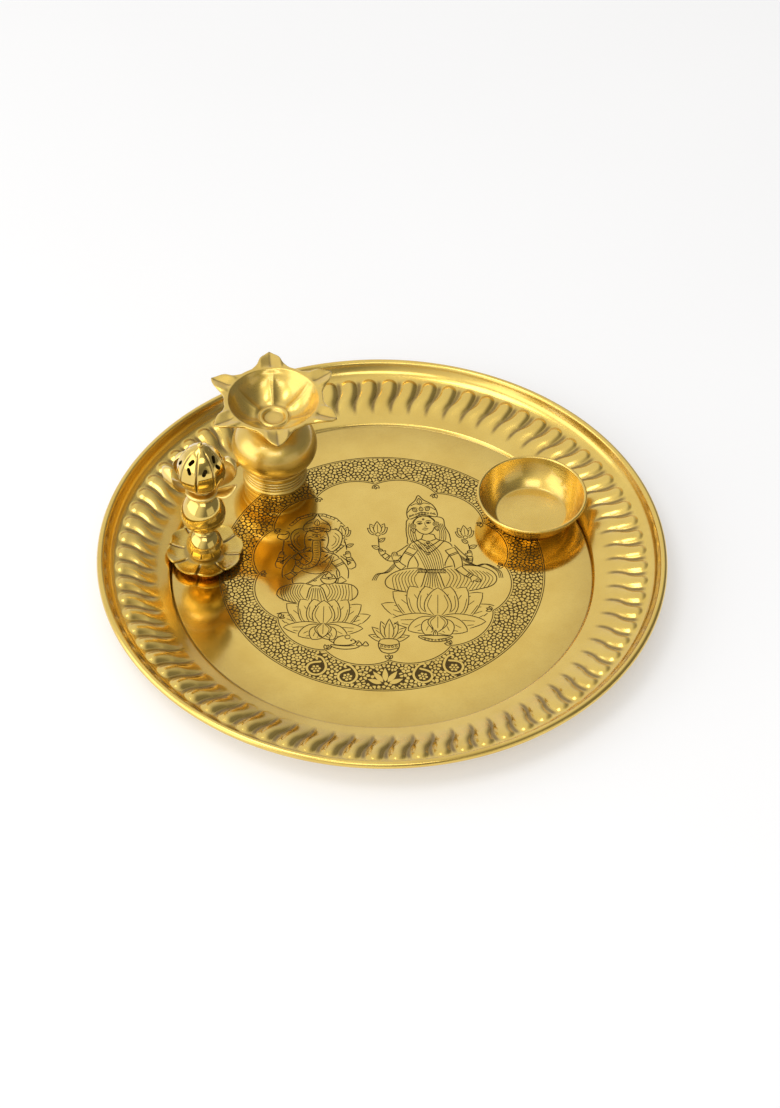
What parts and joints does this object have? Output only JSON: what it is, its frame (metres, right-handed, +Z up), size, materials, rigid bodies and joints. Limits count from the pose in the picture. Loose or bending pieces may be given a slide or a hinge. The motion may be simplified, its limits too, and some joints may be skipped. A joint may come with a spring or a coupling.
{
  "type": "puja thali",
  "caption": "Round brass worship tray with a fluted band and an engraved floor, carrying a star oil lamp, an incense stand and a small bowl that lift off.",
  "frame": {"origin": "centre of the tray's underside, on the surface that it stands on", "axes": "+Z up out of the tray, +Y towards the back of the tray, +X towards the bowl's side"},
  "size_m": [0.254, 0.254, 0.0699],
  "materials": {
    "tray_brass": "polished",
    "katori_brass": "polished",
    "lamp_brass": "polished",
    "stand_brass": "polished",
    "wire_steel": "drawn",
    "screw_steel": "plain"
  },
  "bodies": {
    "thali": {"thali_plate": "tray_brass", "rim_wire": "wire_steel"},
    "katori": {"katori_bowl": "katori_brass"},
    "lamp": {"lamp_foot": "lamp_brass", "lamp_pot": "lamp_brass"},
    "lamp_thread": {"lamp_stud": "lamp_brass"},
    "lamp_top": {"lamp_cup": "lamp_brass"},
    "stand": {"incense_base": "stand_brass", "incense_base_screw": "screw_steel", "incense_lower_bell": "stand_brass", "incense_neck_ring": "stand_brass", "incense_upper_bell": "stand_brass", "incense_lotus_collar": "stand_brass"},
    "stand_thread": {"incense_head_stud": "stand_brass"},
    "stand_top": {"incense_head": "stand_brass"}
  },
  "joints": [
    {"name": "katori_lift", "type": "slide", "parent": "thali", "child": "katori", "axis": [0, 0, 1], "range_m": [0, 0.08]},
    {"name": "lamp_lift", "type": "slide", "parent": "thali", "child": "lamp", "axis": [0, 0, 1], "range_m": [0, 0.08]},
    {"name": "stand_lift", "type": "slide", "parent": "thali", "child": "stand", "axis": [0, 0, 1], "range_m": [0, 0.08]},
    {"name": "lamp_cup_rise", "type": "slide", "parent": "lamp", "child": "lamp_thread", "axis": [0, 0, 1], "range_m": [0, 0.0061]},
    {"name": "lamp_cup_turn", "type": "hinge", "parent": "lamp_thread", "child": "lamp_top", "pos_m": [-0.05031, 0.05974, 0.0351], "axis": [0, 0, 1], "range_deg": [0, 2160]},
    {"name": "stand_head_rise", "type": "slide", "parent": "stand", "child": "stand_thread", "axis": [0, 0, 1], "range_m": [0, 0.0057]},
    {"name": "stand_head_turn", "type": "hinge", "parent": "stand_thread", "child": "stand_top", "pos_m": [-0.07984, 0.00755, 0.0558], "axis": [0, 0, 1], "range_deg": [0, 2880]}
  ],
  "couplings": [
    {"joint": "lamp_cup_rise", "follows": "lamp_cup_turn", "m_per_rad": 0.00015915},
    {"joint": "stand_head_rise", "follows": "stand_head_turn", "m_per_rad": 0.00011141}
  ]
}
